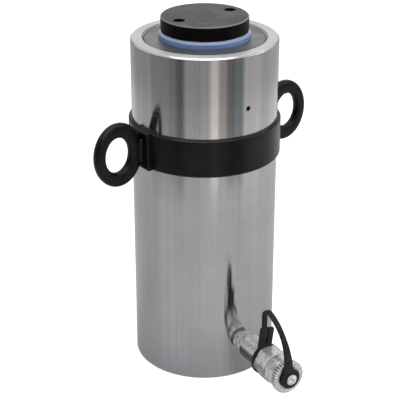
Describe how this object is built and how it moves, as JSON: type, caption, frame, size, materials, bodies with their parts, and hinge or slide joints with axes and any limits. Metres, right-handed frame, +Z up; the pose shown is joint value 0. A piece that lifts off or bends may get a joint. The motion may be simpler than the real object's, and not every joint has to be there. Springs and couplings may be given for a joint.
{
  "type": "single acting hydraulic cylinder",
  "caption": "Upright single acting load return hydraulic cylinder with a polished barrel, a black saddle, a lifting band with ring eyes and a capped oil coupler.",
  "frame": {"origin": "centre of the barrel's flat base, on the cylinder's axis", "axes": "+Z up along the cylinder's axis and the plunger's travel; -Y is the way the oil port and its coupler point; the lifting eyes stand at +X and -X, turned 6 degrees about +Z"},
  "size_m": [0.296, 0.2743, 0.4162],
  "materials": {
    "polished_barrel": "turned and polished bare steel",
    "hard_chrome": "hard chrome plated and ground",
    "gland_steel": "turned bare steel, dull",
    "black_paint": "satin black paint",
    "black_oxide": "black oxide on machined steel",
    "bearing_bronze": "machined bronze",
    "blue_polyurethane": "moulded blue polyurethane",
    "seal_rubber": "black nitrile rubber",
    "backup_plastic": "white low friction plastic",
    "wear_plastic": "brown filled plastic",
    "bright_zinc": "bright plated steel",
    "coupler_steel": "plated steel, a little dull",
    "spring_steel": "drawn spring wire",
    "cap_steel": "plated steel, knurled at the rim",
    "strap_rubber": "black moulded rubber",
    "screw_steel": "black oxide"
  },
  "bodies": {
    "barrel": {"barrel": "polished_barrel", "gland_nut": "gland_steel", "gland_seal": "seal_rubber", "rod_bearing": "bearing_bronze", "rod_wiper": "blue_polyurethane", "breather_screw": "screw_steel", "lifting_band": "black_paint", "lifting_eye_left": "black_paint", "lifting_eye_right": "black_paint", "port_nipple": "bright_zinc", "coupler_backnut": "coupler_steel", "coupler_body": "coupler_steel", "coupler_seal": "seal_rubber", "coupler_spring": "spring_steel", "cap_strap": "strap_rubber"},
    "plunger": {"plunger": "hard_chrome", "piston_seal": "blue_polyurethane", "backup_ring": "backup_plastic", "piston_wear_ring": "wear_plastic", "saddle": "black_oxide"},
    "coupler_valve": {"coupler_poppet": "bright_zinc"},
    "cap_carrier": {"strap_rivet": "bright_zinc"},
    "dust_cap": {"dust_cap": "cap_steel", "cap_gasket": "seal_rubber"}
  },
  "joints": [
    {"name": "plunger_slide", "type": "slide", "parent": "barrel", "child": "plunger", "axis": [0, 0, 1], "range_m": [0, 0.25]},
    {"name": "coupler_valve_slide", "type": "slide", "parent": "barrel", "child": "coupler_valve", "axis": [0, 1, 0], "range_m": [0, 0.003], "stiffness_N_per_m": 2000, "springref_m": -0.003, "deforming": ["coupler_spring"]},
    {"name": "dust_cap_off", "type": "slide", "parent": "barrel", "child": "cap_carrier", "axis": [0, -1, 0], "range_m": [0, 0.008], "deforming": ["cap_strap"]},
    {"name": "dust_cap_turn", "type": "hinge", "parent": "cap_carrier", "child": "dust_cap", "pos_m": [0, -0.17, 0.048], "axis": [0, -1, 0], "range_deg": [0, 1440]}
  ],
  "couplings": [
    {"joint": "dust_cap_off", "follows": "dust_cap_turn", "m_per_rad": 0.00031831}
  ]
}
